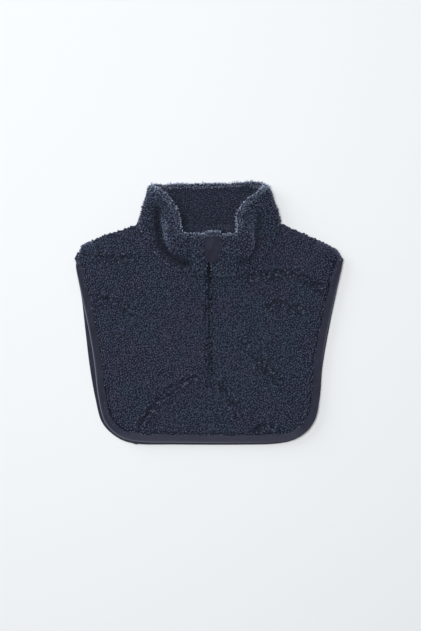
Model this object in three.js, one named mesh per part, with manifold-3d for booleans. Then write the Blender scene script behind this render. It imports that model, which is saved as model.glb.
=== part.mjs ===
// A snood bib of curly pile fleece, lying flat with its front up: two panels sewn at the shoulders, a
// stand collar that is closed by a zip, a tape bound round the edge, and a smooth flap over the zip's end.
// Millimetres. +X is the right of the front as it lies, +Y runs from hem to collar, +Z is up off the surface.
import * as THREE from "three";
import { mergeVertices } from "three/addons/utils/BufferGeometryUtils.js";
import Module from "manifold-3d";

const wasm = await Module();
wasm.setup();

const CLEARANCE = 0.35; // between pieces that are sewn or pressed together
const FLEECE = 6; // one layer, pile and backing
const COLLAR_WALL = 8; // two layers back to back
const SEAM_WALL = 5.4; // the collar where it is sewn to the panels

const TAPE = { width: 12.5, height: 4.4, slotHeight: 2.6, slotFrom: 1.4 }; // folded over both faces
const FRONT_TAPE_Z = 8.3;
const BACK_TAPE_Z = 2.4;
const TURN_STEPS = 6; // of the tape round each shoulder tip

const BACK_INNER_Z = 6; // inner face of the lower panel
const FRONT_INNER_Z = 6.8; // inner face of the upper panel
const SHOULDER_Z = 6.3; // where the panels meet along the shoulders
const NECK_LIFT = { x: 0, y: 112, halfWidth: 104, halfLength: 48, fade: 0.95, rise: 7 }; // of the upper panel

const ZIP = { gap: 5.2, width: 4.4, thickness: 2.6, endY: -118, stepsOnPanel: 8, topLevel: 8.6 };
const SLIDER = { width: 4.4, thickness: 4.6, fromLevel: 8.75, toLevel: 9.9 };
const FLAP_THICKNESS = 1.4;

// The tape's outer edge from the right shoulder tip down, along the hem and up to the left tip.
const EDGE = [
  { place: "right tip", front: [206, 78], back: [206, 78] },
  { place: "right upper side", front: [194.8, 26], back: [196.3, 26] },
  { place: "right middle side", front: [184.2, -26], back: [186.6, -24] },
  { place: "right lower side", front: [174.8, -84], back: [176.3, -84] },
  { place: "right corner begins", front: [171.4, -132], back: [172.4, -132] },
  { place: "right corner upper", front: [165, -167], back: [164.5, -168] },
  { place: "right corner lower", front: [145, -191], back: [142.5, -193.5] },
  { place: "right corner ends", front: [112, -202], back: [108, -204.5] },
  { place: "hem right", front: [45, -203.8], back: [40, -206.5] },
  { place: "hem left", front: [-50, -203], back: [-54, -206.2] },
  { place: "left corner ends", front: [-104, -202], back: [-108, -205.5] },
  { place: "left corner lower", front: [-136, -192.5], back: [-140, -197] },
  { place: "left corner upper", front: [-160, -169], back: [-166, -173] },
  { place: "left corner begins", front: [-171.5, -130], back: [-177, -135] },
  { place: "left lower side", front: [-178.5, -80], back: [-186, -84] },
  { place: "left middle side", front: [-187, -28], back: [-192.5, -30] },
  { place: "left upper side", front: [-197.5, 22], back: [-198.5, 22] },
  { place: "left tip", front: [-205.4, 79], back: [-205.4, 79] },
];
const STEPS_PER_SPAN = 3;

// The fold along the shoulders, from the left tip to the neck and from the neck to the right tip. The
// points nearest the tips are pressed flat, as the edge inside the tape is.
const LEFT_SHOULDER = [[-204, 94.5], [-200, 103.7], [-188, 110.8], [-165, 121], [-138, 130], [-114.5, 138]];
const RIGHT_SHOULDER = [[114.5, 138], [131, 131.5], [154, 121.5], [177, 111], [194, 101.5], [201.5, 93]];
const ACROSS_NECK = { y: 139.2, at: [-76, -38, 0, 38, 76] };
const TIP_FOLD = { right: [-0.55, 0.835], left: [0.3, 0.954] }; // the fold's direction at the tips
const TIP_REACH = 3; // stations over which the tape turns from the edge to the fold

// From the edge inwards. A tape row has the edge pressed in the tape, a fold row lies along a shoulder.
const RIM_ROWS = [
  { tape: { inset: 1.9, outer: 0, inner: 0 }, fold: { inset: 0.3, outer: 0.16, inner: 0.04 } },
  { tape: { inset: 12.9, outer: 0, inner: 0 }, fold: { inset: 2.2, outer: 0.62, inner: 0.02 } },
  { tape: { inset: 16, outer: 0.75, inner: 0.7 }, fold: { inset: 6.5, outer: 0.9, inner: 0.02 } },
  { tape: { inset: 23, outer: 1, inner: 1 }, fold: { inset: 15, outer: 1, inner: 0.6 } },
];
const FRONT_INNER_ROWS = [0.11, 0.23, 0.36, 0.5, 0.66, 0.84]; // shares of the way to the panel's middle
const BACK_INNER_ROWS = [0.5];
const PANEL_MIDDLE = { x: 0, y: -35 };
const PRESSED = 1; // half of what is left of the fleece inside the tape

// Soft ridges of the upper panel beside its creases.
const RIDGES = [
  { from: [72, 64], to: [168, 56], height: 3.2, width: 17 },
  { from: [-168, 84], to: [-112, 108], height: 2.6, width: 17 },
  { from: [112, 104], to: [172, 80], height: 2, width: 17 },
  { from: [-132, -142], to: [-28, -92], height: 2.6, width: 18 },
  { from: [52, -40], to: [104, -118], height: 2.4, width: 18 },
  { from: [-150, 40], to: [-60, -20], height: 1.5, width: 26 },
];

// The collar's middle surface from the right side of the zip round the back to its left side. Each row
// runs from the seam over the fold, the waist under the roll, the roll's belly and crest to the rim. A seam
// without z lies on the panel.
const COLLAR = [
  { place: "zip, right", seam: [2.6, 60], fold: [2.6, 65, 21.5], waist: [2.6, 71, 28],
    belly: [2.6, 80, 36], crest: [2.6, 98, 43.5], rim: [2.6, 119, 46] },
  { place: "front right", seam: [31, 58.5], fold: [31, 63.5, 21.5], waist: [31, 68, 27],
    belly: [31, 76, 35.5], crest: [30, 95, 44.5], rim: [27, 120.5, 46.5] },
  { place: "lower corner right", seam: [61, 66], fold: [60, 73.5, 19.5], waist: [55.5, 80, 24],
    belly: [56, 83, 33], crest: [51.5, 97, 44], rim: [42, 121.5, 46] },
  { place: "upper corner right", seam: [80, 83], fold: [75, 91, 18], waist: [65.5, 101, 21.5],
    belly: [66.5, 104, 31.5], crest: [60, 116, 43.5], rim: [46, 132.5, 45.5] },
  { place: "hollow right", seam: [93, 101], fold: [83.5, 109, 16], waist: [67, 122.5, 19],
    belly: [65, 130, 29], crest: [56, 139, 41], rim: [43, 148.5, 43] },
  { place: "side right", seam: [101.5, 119], fold: [94, 131, 15.5], waist: [83.5, 143, 17],
    belly: [76, 151.5, 22], crest: [69.5, 161, 30], rim: [59.5, 169.5, 35] },
  { place: "over the fold right", seam: [106.5, 134], fold: [102, 146, 15.5], waist: [98, 155, 16.3],
    belly: [93.5, 165, 17.5], crest: [87, 178, 20], rim: [79.5, 188, 24] },
  { place: "fold right", seam: [109.5, 140.6, 7.5], fold: [106.5, 150, 9.5], waist: [103.5, 159, 10],
    belly: [100, 168.5, 10.5], crest: [94.5, 183, 11], rim: [88, 194, 12] },
  { place: "under the fold right", seam: [103.5, 139.5, 3.2], fold: [100, 151, 4.3], waist: [97.5, 160, 4.3],
    belly: [94.5, 170, 4.3], crest: [89, 185.5, 4.5], rim: [81.5, 197.5, 5] },
  { place: "back right", seam: [62, 134.5, 2.9], fold: [61, 148, 4.3], waist: [60, 159, 4.3],
    belly: [58.5, 170, 4.3], crest: [56.5, 186, 4.5], rim: [55, 200, 5] },
  { place: "back", seam: [0, 131, 2.9], fold: [0, 145, 4.3], waist: [0, 156, 4.3],
    belly: [0, 168, 4.3], crest: [0, 183, 4.5], rim: [0, 197.3, 5] },
  { place: "back left", seam: [-62, 134, 2.9], fold: [-61, 148, 4.3], waist: [-60.5, 159, 4.3],
    belly: [-59.5, 170, 4.3], crest: [-57, 184, 4.5], rim: [-53, 196.5, 5] },
  { place: "under the fold left", seam: [-102.5, 139.5, 3.2], fold: [-99.5, 151, 4.3], waist: [-97, 160, 4.3],
    belly: [-94.5, 170, 4.3], crest: [-90, 184.5, 4.5], rim: [-84, 194.5, 5] },
  { place: "fold left", seam: [-108, 140.6, 7.5], fold: [-105, 150, 9.5], waist: [-102, 159, 10],
    belly: [-98.5, 168.5, 10.5], crest: [-93.7, 182.5, 11], rim: [-89, 192.5, 12] },
  { place: "over the fold left", seam: [-105.5, 134], fold: [-101, 146, 17.5], waist: [-97.5, 155, 19],
    belly: [-93.5, 165, 20.5], crest: [-87, 178, 21.5], rim: [-77.5, 187.5, 24] },
  { place: "side left", seam: [-100.5, 120], fold: [-92, 133, 20], waist: [-81.5, 144.5, 15.5],
    belly: [-77, 154, 20.5], crest: [-70.5, 163, 29.5], rim: [-59, 171, 35] },
  { place: "hollow left", seam: [-91, 103], fold: [-83.5, 111, 19], waist: [-72.5, 124, 14.5],
    belly: [-66, 133.5, 29], crest: [-60, 142, 40.5], rim: [-48.5, 152, 43] },
  { place: "upper corner left", seam: [-76, 86.5], fold: [-71.5, 93.5, 18], waist: [-64.5, 101.5, 16],
    belly: [-62.5, 108, 31.5], crest: [-57, 120, 43.5], rim: [-46, 136, 45.5] },
  { place: "lower corner left", seam: [-56, 70.5], fold: [-54, 77, 18], waist: [-48.5, 85, 18.5],
    belly: [-48.5, 90, 32.5], crest: [-46, 103, 44], rim: [-41, 122.5, 46] },
  { place: "front left", seam: [-30, 61.5], fold: [-30, 68, 21], waist: [-29.5, 74, 25.5],
    belly: [-29.5, 78.5, 34], crest: [-28.5, 95, 44], rim: [-27, 120.5, 46.5] },
  { place: "zip, left", seam: [-2.6, 60], fold: [-2.6, 65, 21.5], waist: [-2.6, 71, 28],
    belly: [-2.6, 80, 36], crest: [-2.6, 98, 43.5], rim: [-2.6, 119, 46] },
];
const COLLAR_LEVELS = ["seam", "fold", "waist", "belly", "crest", "rim"];
const STEPS_ROUND = 2; // for each row of the table
const STEPS_UP = 10;
const RIM_CAP = [{ out: 0.22, thick: 0.82 }, { out: 0.4, thick: 0.4 }]; // shares of the wall
const COLLAR_REST_Z = 0.15; // pressed flat where it lies on the surface
const NECK_CUT = 3.1; // from the collar's middle surface to the panel's cut edge

// The flap from its tip on the collar's front, over the rim and down the inside. A level counts from the
// seam at 0 to the rim at 10; the rows past the rim follow the rounded edge and then the inner face.
const FLAP = [
  { face: "outer", level: 5.8, left: 1, right: 4.5 },
  { face: "outer", level: 6, left: -2.6, right: 9 },
  { face: "outer", level: 6.4, left: -4.6, right: 14 },
  { face: "outer", level: 7, left: -6.2, right: 17.4 },
  { face: "outer", level: 8, left: -6.6, right: 18.6 },
  { face: "outer", level: 9, left: -6.4, right: 18.6 },
  { face: "outer", level: 10, left: -5.8, right: 18.4 },
  { face: "outer", level: 11, left: -5.8, right: 18.2 },
  { face: "outer", level: 12, left: -5.8, right: 18 },
  { face: "inner", level: 12, left: -5.8, right: 18 },
  { face: "inner", level: 11, left: -5.8, right: 18 },
  { face: "inner", level: 10, left: -5.8, right: 18 },
  { face: "inner", level: 9, left: -5.8, right: 18 },
  { face: "inner", level: 8, left: -5.8, right: 18 },
];
const FLAP_STEPS_ACROSS = 6;
const FLAP_REACH = 0.5; // how far it stays off the collar

const FINISH = {
  fleece: { color: 0x343846, roughness: 1 },
  tape: { color: 0x2f323d, roughness: 0.8 },
  smooth: { color: 0x31343f, roughness: 0.75 },
  chain: { color: 0x1f222b, roughness: 0.5 },
  metal: { color: 0x2c2e35, roughness: 0.4, metalness: 0.6 },
};

const clamp01 = (t) => Math.min(1, Math.max(0, t));
const mix = (a, b, t) => a + (b - a) * t;
const smoothLine = (points) => new THREE.CatmullRomCurve3(points, false, "centripetal");

// A closed geometry from points and triangles, turned so that its faces point out.
function closedGeometry(points, triangles) {
  const volume = triangles.reduce(
    (sum, [a, b, c]) => sum + points[a].dot(new THREE.Vector3().crossVectors(points[b], points[c])), 0);
  const geometry = new THREE.BufferGeometry().setFromPoints(points);
  geometry.setIndex(triangles.flatMap(([a, b, c]) => (volume < 0 ? [a, c, b] : [a, b, c])));
  return geometry;
}

const quad = (a, b, c, d) => [[a, b, c], [a, c, d]];

// A wall between two grids of points of the same size.
function wallGeometry(outer, inner) {
  const [rows, columns] = [outer.length, outer[0].length];
  const o = (i, j) => i * columns + j;
  const n = (i, j) => rows * columns + o(i, j);
  const [bottom, right] = [rows - 1, columns - 1];
  const triangles = [];
  for (let i = 0; i < bottom; i++)
    for (let j = 0; j < right; j++) {
      triangles.push(...quad(o(i, j), o(i + 1, j), o(i + 1, j + 1), o(i, j + 1)));
      triangles.push(...quad(n(i, j), n(i, j + 1), n(i + 1, j + 1), n(i + 1, j)));
    }
  for (let i = 0; i < bottom; i++) {
    triangles.push(...quad(o(i, 0), n(i, 0), n(i + 1, 0), o(i + 1, 0)));
    triangles.push(...quad(o(i, right), o(i + 1, right), n(i + 1, right), n(i, right)));
  }
  for (let j = 0; j < right; j++) {
    triangles.push(...quad(o(0, j), o(0, j + 1), n(0, j + 1), n(0, j)));
    triangles.push(...quad(o(bottom, j), n(bottom, j), n(bottom, j + 1), o(bottom, j + 1)));
  }
  return closedGeometry([...outer.flat(), ...inner.flat()], triangles);
}

// A ring that joins equal closed sections, the last one to the first.
function ringGeometry(sections) {
  const [count, sides] = [sections.length, sections[0].length];
  const at = (i, k) => (i % count) * sides + (k % sides);
  const triangles = [];
  for (let i = 0; i < count; i++)
    for (let k = 0; k < sides; k++)
      triangles.push(...quad(at(i, k), at(i + 1, k), at(i + 1, k + 1), at(i, k + 1)));
  return closedGeometry(sections.flat(), triangles);
}

// A disc of rings, from the edge to one middle point, with an upper and a lower face.
function discGeometry(upper, lower, upperMiddle, lowerMiddle) {
  const [rings, around] = [upper.length, upper[0].length];
  const u = (k, i) => k * around + (i % around);
  const l = (k, i) => rings * around + u(k, i);
  const [middleUp, middleDown] = [2 * rings * around, 2 * rings * around + 1];
  const triangles = [];
  for (let i = 0; i < around; i++) {
    triangles.push(...quad(u(0, i), u(0, i + 1), l(0, i + 1), l(0, i)));
    for (let k = 0; k < rings - 1; k++) {
      triangles.push(...quad(u(k, i), u(k + 1, i), u(k + 1, i + 1), u(k, i + 1)));
      triangles.push(...quad(l(k, i), l(k, i + 1), l(k + 1, i + 1), l(k + 1, i)));
    }
    triangles.push([u(rings - 1, i), middleUp, u(rings - 1, i + 1)]);
    triangles.push([l(rings - 1, i), l(rings - 1, i + 1), middleDown]);
  }
  return closedGeometry([...upper.flat(), ...lower.flat(), upperMiddle, lowerMiddle], triangles);
}

// A geometry as a solid for cutting, and a solid as a geometry.
function solidOf(geometry) {
  const bare = geometry.clone();
  bare.deleteAttribute("normal");
  bare.deleteAttribute("uv");
  const merged = mergeVertices(bare, 1e-4);
  return new wasm.Manifold(new wasm.Mesh({
    numProp: 3,
    vertProperties: merged.attributes.position.array,
    triVerts: new Uint32Array(merged.index.array),
  }));
}

function geometryOf(solid) {
  const mesh = solid.getMesh();
  const geometry = new THREE.BufferGeometry();
  geometry.setAttribute("position", new THREE.BufferAttribute(mesh.vertProperties, 3));
  geometry.setIndex(new THREE.BufferAttribute(mesh.triVerts, 1));
  return geometry;
}

// A vertical prism through everything, over a closed outline seen from above.
function prism(outline) {
  const [low, high] = [-20, 80];
  const shape = new THREE.Shape(outline.map(([x, y]) => new THREE.Vector2(x, y)));
  const geometry = new THREE.ExtrudeGeometry(shape, { depth: high - low, bevelEnabled: false });
  return solidOf(geometry.translate(0, 0, low));
}

// The height of a ridge at a point: round across, and fading out past its ends.
function ridgeHeight({ from, to, height, width }, x, y) {
  const [dx, dy] = [to[0] - from[0], to[1] - from[1]];
  const along = clamp01(((x - from[0]) * dx + (y - from[1]) * dy) / (dx * dx + dy * dy));
  const away = Math.hypot(x - from[0] - along * dx, y - from[1] - along * dy);
  return height * Math.exp(-((away / width) ** 2));
}

const relief = (x, y) => RIDGES.reduce((sum, ridge) => sum + ridgeHeight(ridge, x, y), 0);

// How much the collar lifts the upper panel at a point.
function neckLift(x, y) {
  const { halfWidth, halfLength, fade, rise } = NECK_LIFT;
  const away = Math.hypot((x - NECK_LIFT.x) / halfWidth, (y - NECK_LIFT.y) / halfLength);
  const beside = 1 - clamp01(Math.abs(x) / (halfWidth + 12)) ** 2;
  return rise * beside * Math.exp(-((Math.max(0, away - 1) / fade) ** 2));
}

// The inner and the outer face of each panel, inside its rim.
const frontFaces = (x, y) => ({
  outer: FRONT_INNER_Z + FLEECE + neckLift(x, y) + relief(x, y),
  inner: FRONT_INNER_Z + neckLift(x, y) + relief(x, y) / 2,
});
const backFaces = () => ({ outer: BACK_INNER_Z - FLEECE, inner: BACK_INNER_Z });

function frontMiddle(x, y) {
  const { outer, inner } = frontFaces(x, y);
  return (outer + inner) / 2;
}

// Stations along the tape on one panel, each with its place and the direction into the panel.
function tapeStations(side) {
  const curve = smoothLine(EDGE.map((row) => new THREE.Vector3(...row[side], 0)));
  const steps = (EDGE.length - 1) * STEPS_PER_SPAN;
  return Array.from({ length: steps + 1 }, (_, i) => {
    const at = curve.getPoint(i / steps);
    const tangent = curve.getTangent(i / steps);
    const turned = clamp01(1 - Math.min(i, steps - i) / TIP_REACH);
    const fold = new THREE.Vector2(...(i < steps / 2 ? TIP_FOLD.right : TIP_FOLD.left));
    const inward = new THREE.Vector2(tangent.y, -tangent.x).lerp(fold, turned).normalize();
    return { x: at.x, y: at.y, inward };
  });
}

// One C-shaped section of the tape: across runs into the panel and up runs through its thickness.
function tapeSection(at, across, up) {
  const [half, slot] = [TAPE.height / 2, TAPE.slotHeight / 2];
  const corners = [[0, -half], [TAPE.width, -half], [TAPE.width, -slot], [TAPE.slotFrom, -slot],
    [TAPE.slotFrom, slot], [TAPE.width, slot], [TAPE.width, half], [0, half]];
  return corners.map(([a, u]) => at.clone().addScaledVector(across, a).addScaledVector(up, u));
}

// The tape's half turn round a shoulder tip, from the upper panel's level down to the lower one's.
function tipTurn(station) {
  const [middleZ, radius] = [(FRONT_TAPE_Z + BACK_TAPE_Z) / 2, (FRONT_TAPE_Z - BACK_TAPE_Z) / 2];
  const across = new THREE.Vector3(station.inward.x, station.inward.y, 0);
  const outwardSign = Math.sign(station.x);
  const outward = new THREE.Vector3(across.y * outwardSign, -across.x * outwardSign, 0);
  return Array.from({ length: TURN_STEPS + 1 }, (_, i) => {
    const angle = Math.PI * (0.5 - i / TURN_STEPS);
    const up = outward.clone().multiplyScalar(Math.cos(angle)).setZ(Math.sin(angle));
    const at = new THREE.Vector3(station.x, station.y, middleZ).addScaledVector(up, radius);
    return tapeSection(at, across, up);
  });
}

function edgeBinding() {
  const flat = (station, z, upSign) => tapeSection(
    new THREE.Vector3(station.x, station.y, z),
    new THREE.Vector3(station.inward.x, station.inward.y, 0),
    new THREE.Vector3(0, 0, upSign));
  const front = tapeStations("front");
  const back = tapeStations("back");
  const onFront = front.slice(1, -1).map((station) => flat(station, FRONT_TAPE_Z, 1));
  const onBack = back.slice(1, -1).map((station) => flat(station, BACK_TAPE_Z, -1));
  const rightTurn = tipTurn(front[0]);
  const leftTurn = tipTurn(front.at(-1));
  return ringGeometry([...onFront, ...leftTurn, ...onBack.reverse(), ...rightTurn.reverse()]);
}

// A panel's closed outline: the taped edge, then the left shoulder, the neck and the right shoulder.
function panelOutline(side) {
  const taped = tapeStations(side).slice(1, -1).map((station) => ({ ...station, taped: true }));
  const neck = ACROSS_NECK.at.map((x) => [x, ACROSS_NECK.y]);
  const folded = [...LEFT_SHOULDER, ...neck, ...RIGHT_SHOULDER].map(([x, y], i, all) =>
    ({ x, y, taped: i === 0 || i === all.length - 1 }));
  const outline = [...taped, ...folded];
  return outline.map((point, i) => {
    const before = outline[(i + outline.length - 1) % outline.length];
    const after = outline[(i + 1) % outline.length];
    const along = new THREE.Vector2(after.x - before.x, after.y - before.y).normalize();
    return { inward: new THREE.Vector2(along.y, -along.x), ...point };
  });
}

// A panel as a disc of rings, from its pressed or folded rim to its middle.
function panelGeometry(side, tapeZ, faces, innerRows) {
  const outline = panelOutline(side);
  const upSign = side === "front" ? 1 : -1;
  const rimRow = (point, row) => (point.taped ? row.tape : row.fold);
  const insetFrom = (point, inset) => {
    const start = new THREE.Vector2(point.x, point.y);
    if (point.taped) return start.addScaledVector(point.inward, inset);
    const way = new THREE.Vector2(PANEL_MIDDLE.x - point.x, PANEL_MIDDLE.y - point.y);
    return start.addScaledVector(way, inset / way.dot(point.inward));
  };
  const height = (point, at, row) => {
    const { outer, inner } = faces(at.x, at.y);
    const edge = point.taped ? tapeZ : SHOULDER_Z + (upSign * CLEARANCE) / 2;
    const pressed = point.taped ? upSign * PRESSED : 0;
    return {
      outer: new THREE.Vector3(at.x, at.y, mix(edge + pressed, outer, row.outer)),
      inner: new THREE.Vector3(at.x, at.y, mix(edge - pressed, inner, row.inner)),
    };
  };
  const rimRings = RIM_ROWS.map((rows) => outline.map((point) => {
    const row = rimRow(point, rows);
    return height(point, insetFrom(point, row.inset), row);
  }));
  const middle = new THREE.Vector2(PANEL_MIDDLE.x, PANEL_MIDDLE.y);
  const innerRings = innerRows.map((share) => outline.map((point) => {
    const start = insetFrom(point, rimRow(point, RIM_ROWS.at(-1)).inset);
    return height(point, start.lerp(middle, share), { outer: 1, inner: 1 });
  }));
  const rings = [...rimRings, ...innerRings];
  const { outer, inner } = faces(middle.x, middle.y);
  return discGeometry(
    rings.map((ring) => ring.map((p) => p.outer)), rings.map((ring) => ring.map((p) => p.inner)),
    new THREE.Vector3(middle.x, middle.y, outer), new THREE.Vector3(middle.x, middle.y, inner));
}

// The collar's middle surface as a grid, rows round the neck and columns from seam to rim.
function collarMiddle() {
  const steps = (COLLAR.length - 1) * STEPS_ROUND;
  const levels = COLLAR_LEVELS.map((level) => smoothLine(COLLAR.map((row) => {
    const [x, y, z] = row[level];
    return new THREE.Vector3(x, y, z ?? frontMiddle(x, y));
  })));
  return Array.from({ length: steps + 1 }, (_, i) => {
    const up = smoothLine(levels.map((curve) => curve.getPoint(i / steps)));
    return Array.from({ length: STEPS_UP + 1 }, (_, j) => up.getPoint(j / STEPS_UP));
  });
}

// Unit normals of a grid; those at its first and last row are kept in the plane of the zip if asked.
function gridNormals(grid, flatEnds) {
  const last = grid.length - 1;
  return grid.map((row, i) => row.map((_, j) => {
    const round = grid[Math.min(last, i + 1)][j].clone().sub(grid[Math.max(0, i - 1)][j]);
    const up = row[Math.min(row.length - 1, j + 1)].clone().sub(row[Math.max(0, j - 1)]);
    const normal = round.cross(up);
    if (flatEnds && (i === 0 || i === last)) normal.setX(0);
    return normal.normalize();
  }));
}

// The collar's outer and inner faces, with the rim rounded over.
function collarFaces(middle) {
  const normals = gridNormals(middle, true);
  const half = (j) => mix(SEAM_WALL, COLLAR_WALL, clamp01((3 * j) / STEPS_UP)) / 2;
  const face = (sign) => middle.map((row, i) => {
    const [before, rim] = row.slice(-2);
    const up = rim.clone().sub(before).normalize();
    const cap = RIM_CAP.map(({ out, thick }) => rim.clone()
      .addScaledVector(up, out * COLLAR_WALL)
      .addScaledVector(normals[i].at(-1), (sign * thick * COLLAR_WALL) / 2));
    const points = row.map((p, j) => p.clone().addScaledVector(normals[i][j], sign * half(j)));
    return [...points, ...cap].map((p) => p.setZ(Math.max(p.z, COLLAR_REST_Z)));
  });
  return { outer: face(1), inner: face(-1) };
}

// The collar's seam as seen from above, moved to the panel's side, and closed past the neck.
function neckOutline(middle, side) {
  const seam = middle.map((row) => row[0]);
  const moved = seam.map((point, i) => {
    const before = seam[Math.max(0, i - 1)];
    const after = seam[Math.min(seam.length - 1, i + 1)];
    const along = new THREE.Vector2(after.x - before.x, after.y - before.y).normalize();
    const by = side === "front" ? NECK_CUT : -CLEARANCE;
    return [point.x + along.y * by, point.y - along.x * by];
  });
  const foldRow = COLLAR.findIndex((row) => row.place === "fold right") * STEPS_ROUND;
  const [rightFold, leftFold] = [foldRow, seam.length - 1 - foldRow];
  const beyond = 170;
  const wide = side === "front" ? 112 : 120;
  return side === "front"
    ? [...moved.slice(leftFold), ...moved.slice(0, rightFold + 1), [wide, beyond], [-wide, beyond]]
    : [[wide, moved[rightFold + 1][1]], ...moved.slice(rightFold + 1, leftFold),
      [-wide, moved[leftFold - 1][1]], [-wide, beyond], [wide, beyond]];
}

function zipSlot() {
  const [half, top] = [ZIP.gap / 2, 100];
  return prism([[-half, ZIP.endY], [half, ZIP.endY], [half, top], [-half, top]]);
}

// The zip's line from its lower end over the panel and up the collar to a level of the collar's grid.
function zipLine(middle, fromLevel, toLevel) {
  const onCollar = (level) => {
    const below = Math.min(STEPS_UP - 1, Math.floor(level));
    const [a, b] = [middle[0][below], middle[0][below + 1]];
    return a.clone().lerp(b, level - below).setX(0);
  };
  const levels = [fromLevel];
  for (let level = Math.floor(fromLevel) + 1; level < toLevel; level += 1) levels.push(level);
  const onPanel = fromLevel > 0 ? [] : Array.from({ length: ZIP.stepsOnPanel }, (_, i) => {
    const y = mix(ZIP.endY + CLEARANCE, middle[0][0].y, i / ZIP.stepsOnPanel);
    return new THREE.Vector3(0, y, frontMiddle(0, y));
  });
  return [...onPanel, ...levels.map(onCollar), onCollar(toLevel)];
}

// A straight-sided bar along a line in the plane x = 0.
function barAlong(line, width, thickness) {
  const sections = line.map((point, i) => {
    const along = line[Math.min(line.length - 1, i + 1)].clone().sub(line[Math.max(0, i - 1)]).normalize();
    const up = new THREE.Vector3(0, -along.z, along.y);
    return [1, -1].map((sign) => [-1, 1].map((edge) =>
      point.clone().addScaledVector(up, (sign * thickness) / 2).setX((edge * width) / 2)));
  });
  return wallGeometry(sections.map(([upper]) => upper), sections.map(([, lower]) => lower));
}

// A point on a face of the collar beside the zip, at a distance x across and a level up.
function besideZip(face, x, level) {
  const rows = x < 0 ? [...face].reverse() : face;
  const below = Math.min(rows[0].length - 2, Math.floor(level));
  const onRow = (row) => row[below].clone().lerp(row[below + 1], level - below);
  const far = Math.abs(x);
  let i = 0;
  while (Math.abs(onRow(rows[i + 1]).x) < far) i++;
  const [a, b] = [onRow(rows[i]), onRow(rows[i + 1])];
  const share = clamp01((far - Math.abs(a.x)) / Math.abs(b.x - a.x));
  return a.lerp(b, share).setX(x);
}

function flapGeometry(faces) {
  const base = FLAP.map(({ face, level, left, right }) =>
    Array.from({ length: FLAP_STEPS_ACROSS + 1 }, (_, k) =>
      besideZip(faces[face], mix(left, right, k / FLAP_STEPS_ACROSS), level)));
  const normals = gridNormals(base, false);
  const away = (distance) => base.map((row, i) =>
    row.map((p, k) => p.clone().addScaledVector(normals[i][k], -distance)));
  return wallGeometry(away(FLAP_REACH + FLAP_THICKNESS), away(FLAP_REACH));
}

function mesh(name, geometry, finish) {
  const made = new THREE.Mesh(geometry, new THREE.MeshStandardMaterial(finish));
  made.name = name;
  return made;
}

const middle = collarMiddle();
const faces = collarFaces(middle);
const frontPanel = solidOf(panelGeometry("front", FRONT_TAPE_Z, frontFaces, FRONT_INNER_ROWS))
  .subtract(prism(neckOutline(middle, "front")))
  .subtract(zipSlot());
const backPanel = solidOf(panelGeometry("back", BACK_TAPE_Z, backFaces, BACK_INNER_ROWS))
  .subtract(prism(neckOutline(middle, "back")));

const chainLine = zipLine(middle, 0, ZIP.topLevel);
const sliderLine = zipLine(middle, SLIDER.fromLevel, SLIDER.toLevel);

const group = new THREE.Group();
group.add(
  mesh("front_panel", geometryOf(frontPanel), FINISH.fleece),
  mesh("back_panel", geometryOf(backPanel), FINISH.fleece),
  mesh("collar", wallGeometry(faces.outer, faces.inner), FINISH.fleece),
  mesh("edge_binding", edgeBinding(), FINISH.tape),
  mesh("zip_chain", barAlong(chainLine, ZIP.width, ZIP.thickness), FINISH.chain),
  mesh("zip_slider", barAlong(sliderLine, SLIDER.width, SLIDER.thickness), FINISH.metal),
  mesh("zip_flap", flapGeometry(faces), FINISH.smooth),
);

// The origin is on the surface, under the middle of the part.
const box = new THREE.Box3().setFromObject(group);
const centre = box.getCenter(new THREE.Vector3());
group.position.set(-centre.x, -centre.y, -box.min.z);

export default group;
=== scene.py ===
# A navy pile fleece snood bib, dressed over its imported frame: curled pile on soft fleece, a bound edge, a zip
# and the smooth flap over the zip's end. It lies on a pale floor and is seen from straight above.
import math

import bmesh
import bpy
import numpy as np
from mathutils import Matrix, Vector
from mathutils.bvhtree import BVHTree
from mathutils.kdtree import KDTree


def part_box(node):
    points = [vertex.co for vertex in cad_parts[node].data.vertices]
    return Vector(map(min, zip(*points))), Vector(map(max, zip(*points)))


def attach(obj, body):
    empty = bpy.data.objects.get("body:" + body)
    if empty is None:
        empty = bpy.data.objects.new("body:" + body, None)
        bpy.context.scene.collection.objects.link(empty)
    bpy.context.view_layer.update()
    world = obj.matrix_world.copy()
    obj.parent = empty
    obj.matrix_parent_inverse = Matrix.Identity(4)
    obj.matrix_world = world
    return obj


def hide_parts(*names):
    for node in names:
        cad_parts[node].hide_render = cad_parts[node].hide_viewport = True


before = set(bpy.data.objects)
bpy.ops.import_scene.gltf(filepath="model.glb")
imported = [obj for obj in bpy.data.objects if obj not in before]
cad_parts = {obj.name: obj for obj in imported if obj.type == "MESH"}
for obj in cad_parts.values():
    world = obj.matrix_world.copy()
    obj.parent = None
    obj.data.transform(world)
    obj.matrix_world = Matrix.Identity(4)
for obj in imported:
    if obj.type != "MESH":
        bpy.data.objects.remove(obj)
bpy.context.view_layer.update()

MM = 0.001
FLOOR_CLEAR = 0.05 * MM  # how far the lowest pile stays above the floor
ABOVE_ALL = 0.2  # metres above the floor, higher than any piece
ALONG_X = np.array([1.0, 0, 0])

# The part's own drawing has the zip at x = 0 and its lower end at this y; the frame is centred on the part.
DRAWN_ZIP_END_Y = -117.65
chain_low, chain_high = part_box("zip_chain")
DRAWN_TO_FRAME = np.array([(chain_low.x + chain_high.x) / 2, chain_low.y - DRAWN_ZIP_END_Y * MM])

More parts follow.
